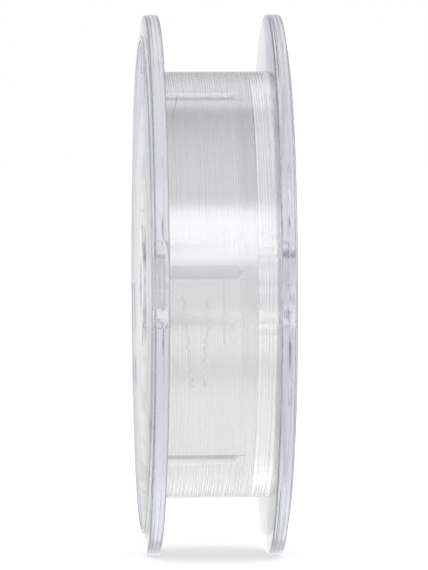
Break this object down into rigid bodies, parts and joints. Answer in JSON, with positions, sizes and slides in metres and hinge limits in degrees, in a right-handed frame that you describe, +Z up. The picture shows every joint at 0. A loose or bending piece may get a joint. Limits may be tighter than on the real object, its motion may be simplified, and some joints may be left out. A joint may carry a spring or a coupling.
{
  "type": "fishing line spool",
  "caption": "Clear two-part spool with flat flanges and a central bore, its drum wound with clear fishing line, with a round label on each face.",
  "frame": {"origin": "centre of the spool, on its axis at mid-width", "axes": "+X along the spool's axis, from the half with the long sleeve towards the half with the short boss; +Z up as the spool stands on its rims; -Y faces the picture's camera"},
  "size_m": [0.0178, 0.068, 0.068],
  "materials": {
    "clear_plastic": "clear moulded polystyrene",
    "line": "clear monofilament",
    "label": "clear film printed in colours"
  },
  "bodies": {
    "root": {"left_spool_half": "clear_plastic", "right_spool_half": "clear_plastic", "line_inner_layers": "line", "line_outer_turns": "line", "left_label": "label", "right_label": "label"}
  },
  "joints": []
}
